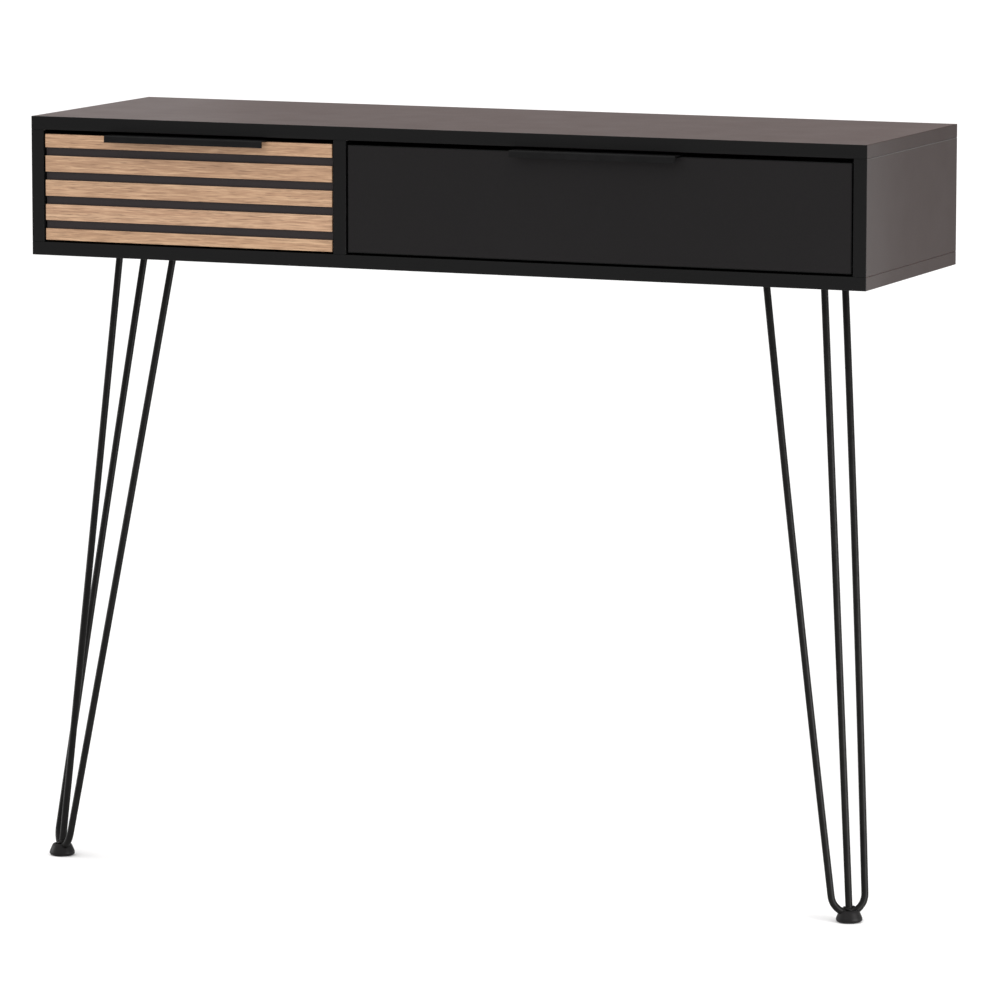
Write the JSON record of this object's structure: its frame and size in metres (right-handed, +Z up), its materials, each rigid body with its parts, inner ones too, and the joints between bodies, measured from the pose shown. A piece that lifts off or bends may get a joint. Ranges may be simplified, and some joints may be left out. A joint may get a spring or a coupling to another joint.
{
  "type": "writing desk",
  "caption": "Slim wall-fixed desk with a wide plain drawer and a narrow slatted drawer under a flat top, carried at the front by splayed hairpin legs.",
  "frame": {"origin": "centre of the overall footprint, on the floor, drawers shut", "axes": "+Z up, +Y towards the wall, +X to the right of a person facing the drawers"},
  "size_m": [1, 0.317, 0.853],
  "materials": {
    "graphite_board": "near-black melamine film on particleboard, fine flat matte",
    "oak": "light oak strips, fine straight horizontal grain, matte",
    "box_board": "dark grey foil on fibreboard, matte",
    "hardboard": "thin painted hardboard, matte",
    "black_steel": "black powder coat, low sheen",
    "runner_steel": "dark stove enamel on pressed steel",
    "zinc_steel": "bright zinc plate",
    "roller_nylon": "natural white nylon",
    "foot_rubber": "dark grey moulded rubber, satin"
  },
  "bodies": {
    "desk_frame": {"back_panel": "graphite_board", "bottom_panel": "graphite_board", "centre_divider": "graphite_board", "left_bay_rail_left": "runner_steel", "left_bay_rail_right": "runner_steel", "left_side_panel": "graphite_board", "leg_left_bent_rod": "black_steel", "leg_left_foot": "foot_rubber", "leg_left_plate": "black_steel", "leg_left_screw_1": "zinc_steel", "leg_left_screw_2": "zinc_steel", "leg_left_screw_3": "zinc_steel", "leg_left_screw_4": "zinc_steel", "leg_left_straight_rod": "black_steel", "leg_right_bent_rod": "black_steel", "leg_right_foot": "foot_rubber", "leg_right_plate": "black_steel", "leg_right_screw_1": "zinc_steel", "leg_right_screw_2": "zinc_steel", "leg_right_screw_3": "zinc_steel", "leg_right_screw_4": "zinc_steel", "leg_right_straight_rod": "black_steel", "right_bay_rail_left": "runner_steel", "right_bay_rail_right": "runner_steel", "right_side_panel": "graphite_board", "top_panel": "graphite_board", "wall_hanger_left": "zinc_steel", "wall_hanger_right": "zinc_steel"},
    "left_bay_roller_left": {"left_bay_roller_left": "roller_nylon"},
    "left_bay_roller_right": {"left_bay_roller_right": "roller_nylon"},
    "left_drawer": {"left_drawer_back": "box_board", "left_drawer_bottom": "hardboard", "left_drawer_front": "graphite_board", "left_drawer_handle": "black_steel", "left_drawer_rail_left": "runner_steel", "left_drawer_rail_right": "runner_steel", "left_drawer_side_left": "box_board", "left_drawer_side_right": "box_board", "left_drawer_slat_1": "oak", "left_drawer_slat_2": "oak", "left_drawer_slat_3": "oak", "left_drawer_slat_4": "oak", "left_drawer_slat_5": "oak"},
    "left_drawer_roller_left": {"left_drawer_roller_left": "roller_nylon"},
    "left_drawer_roller_right": {"left_drawer_roller_right": "roller_nylon"},
    "right_bay_roller_left": {"right_bay_roller_left": "roller_nylon"},
    "right_bay_roller_right": {"right_bay_roller_right": "roller_nylon"},
    "right_drawer": {"right_drawer_back": "box_board", "right_drawer_bottom": "hardboard", "right_drawer_front": "graphite_board", "right_drawer_handle": "black_steel", "right_drawer_rail_left": "runner_steel", "right_drawer_rail_right": "runner_steel", "right_drawer_side_left": "box_board", "right_drawer_side_right": "box_board"},
    "right_drawer_roller_left": {"right_drawer_roller_left": "roller_nylon"},
    "right_drawer_roller_right": {"right_drawer_roller_right": "roller_nylon"}
  },
  "joints": [
    {"name": "left_drawer_slide", "type": "slide", "parent": "desk_frame", "child": "left_drawer", "axis": [0, -1, 0], "range_m": [0, 0.19]},
    {"name": "right_drawer_slide", "type": "slide", "parent": "desk_frame", "child": "right_drawer", "axis": [0, -1, 0], "range_m": [0, 0.19]},
    {"name": "left_bay_roller_left_spin", "type": "hinge", "parent": "desk_frame", "child": "left_bay_roller_left", "pos_m": [-0.4792, -0.1155, 0.7286], "axis": [1, 0, 0], "continuous": true},
    {"name": "left_drawer_roller_left_spin", "type": "hinge", "parent": "left_drawer", "child": "left_drawer_roller_left", "pos_m": [-0.4794, 0.1075, 0.7305], "axis": [1, 0, 0], "continuous": true},
    {"name": "left_bay_roller_right_spin", "type": "hinge", "parent": "desk_frame", "child": "left_bay_roller_right", "pos_m": [-0.1318, -0.1155, 0.7286], "axis": [1, 0, 0], "continuous": true},
    {"name": "left_drawer_roller_right_spin", "type": "hinge", "parent": "left_drawer", "child": "left_drawer_roller_right", "pos_m": [-0.1316, 0.1075, 0.7305], "axis": [1, 0, 0], "continuous": true},
    {"name": "right_bay_roller_left_spin", "type": "hinge", "parent": "desk_frame", "child": "right_bay_roller_left", "pos_m": [-0.1052, -0.1155, 0.7286], "axis": [1, 0, 0], "continuous": true},
    {"name": "right_drawer_roller_left_spin", "type": "hinge", "parent": "right_drawer", "child": "right_drawer_roller_left", "pos_m": [-0.1054, 0.1075, 0.7305], "axis": [1, 0, 0], "continuous": true},
    {"name": "right_bay_roller_right_spin", "type": "hinge", "parent": "desk_frame", "child": "right_bay_roller_right", "pos_m": [0.4792, -0.1155, 0.7286], "axis": [1, 0, 0], "continuous": true},
    {"name": "right_drawer_roller_right_spin", "type": "hinge", "parent": "right_drawer", "child": "right_drawer_roller_right", "pos_m": [0.4794, 0.1075, 0.7305], "axis": [1, 0, 0], "continuous": true}
  ],
  "couplings": [
    {"joint": "left_bay_roller_left_spin", "follows": "left_drawer_slide", "rad_per_m": 100},
    {"joint": "left_drawer_roller_left_spin", "follows": "left_drawer_slide", "rad_per_m": 79.365},
    {"joint": "left_bay_roller_right_spin", "follows": "left_drawer_slide", "rad_per_m": 100},
    {"joint": "left_drawer_roller_right_spin", "follows": "left_drawer_slide", "rad_per_m": 79.365},
    {"joint": "right_bay_roller_left_spin", "follows": "right_drawer_slide", "rad_per_m": 100},
    {"joint": "right_drawer_roller_left_spin", "follows": "right_drawer_slide", "rad_per_m": 79.365},
    {"joint": "right_bay_roller_right_spin", "follows": "right_drawer_slide", "rad_per_m": 100},
    {"joint": "right_drawer_roller_right_spin", "follows": "right_drawer_slide", "rad_per_m": 79.365}
  ]
}
